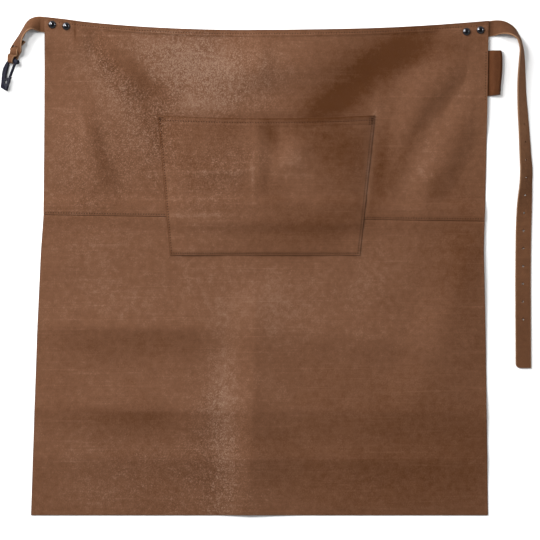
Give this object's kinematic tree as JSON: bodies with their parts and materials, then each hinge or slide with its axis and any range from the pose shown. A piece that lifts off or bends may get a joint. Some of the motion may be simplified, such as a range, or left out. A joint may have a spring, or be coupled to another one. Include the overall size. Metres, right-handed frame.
{
  "type": "waist apron",
  "caption": "Leather waist apron lying flat, with a patch pocket, a side towel loop, riveted belt straps and a small gated hook on the short strap.",
  "frame": {"origin": "middle of the whole object's box in plan, on the surface that the apron lies on", "axes": "+X across the front towards the long strap, +Y towards the waist edge, +Z out of the apron's front, up while it lies flat"},
  "size_m": [0.6988, 0.655, 0.0206],
  "materials": {
    "body_leather": "waxed brown leather with a fine pebbled grain and raw cut edges",
    "strap_leather": "darker smooth belt leather with burnished edges",
    "rivet_metal": "polished black gunmetal plating",
    "hook_metal": "black anodised, satin"
  },
  "bodies": {
    "apron": {"upper_panel": "body_leather", "lower_panel": "body_leather", "pocket": "body_leather", "towel_loop": "body_leather", "left_strap": "strap_leather", "right_strap": "strap_leather", "rivet_left_outer": "rivet_metal", "rivet_left_inner": "rivet_metal", "rivet_right_inner": "rivet_metal", "rivet_right_outer": "rivet_metal", "hook_frame": "hook_metal"},
    "gate": {"hook_gate": "hook_metal"}
  },
  "joints": [
    {"name": "gate_hinge", "type": "hinge", "parent": "apron", "child": "gate", "pos_m": [-0.32797, 0.2672, 0.01], "axis": [0.4823, -0.1319, -0.866], "range_deg": [0, 13], "stiffness_Nm_per_rad": 0.02, "springref_deg": -17.19}
  ]
}
